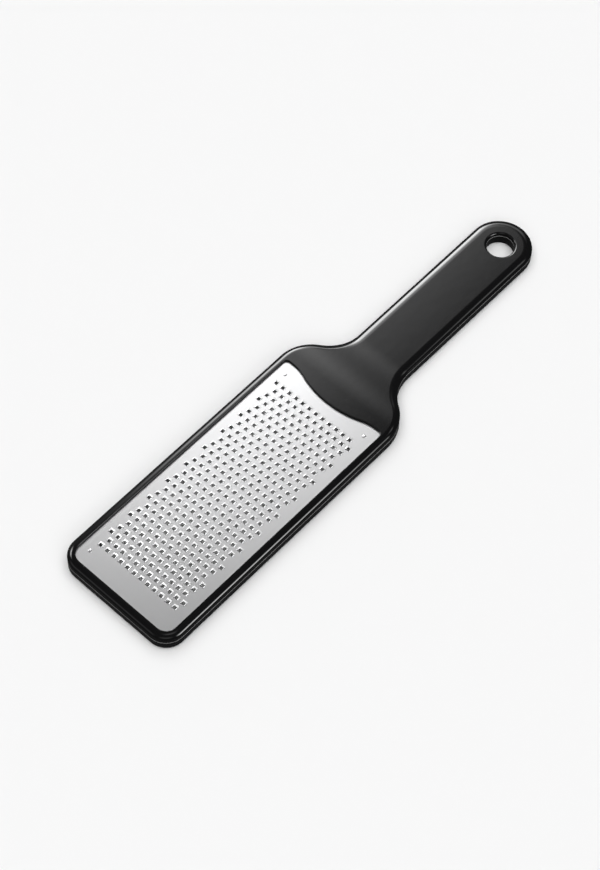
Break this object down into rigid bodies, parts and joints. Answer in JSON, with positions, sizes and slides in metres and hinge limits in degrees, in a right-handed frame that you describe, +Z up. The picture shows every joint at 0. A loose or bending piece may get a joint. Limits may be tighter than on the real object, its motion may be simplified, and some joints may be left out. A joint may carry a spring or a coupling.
{
  "type": "hand grater",
  "caption": "Flat paddle grater: a steel plate of staggered raised teeth clamped between two glossy plastic shells, with a slim handle and a round hanging hole.",
  "frame": {"origin": "centre of the underside, midway along the length and across the paddle, on the plane that the tool lies on", "axes": "+X from the paddle's tip to the handle end, +Y across the paddle, +Z up out of the toothed face"},
  "size_m": [0.2658, 0.0634, 0.0097],
  "materials": {
    "black_plastic": "high gloss",
    "plate_steel": "satin"
  },
  "bodies": {
    "root": {"lower_shell": "black_plastic", "upper_shell": "black_plastic", "grater_plate": "plate_steel"}
  },
  "joints": []
}
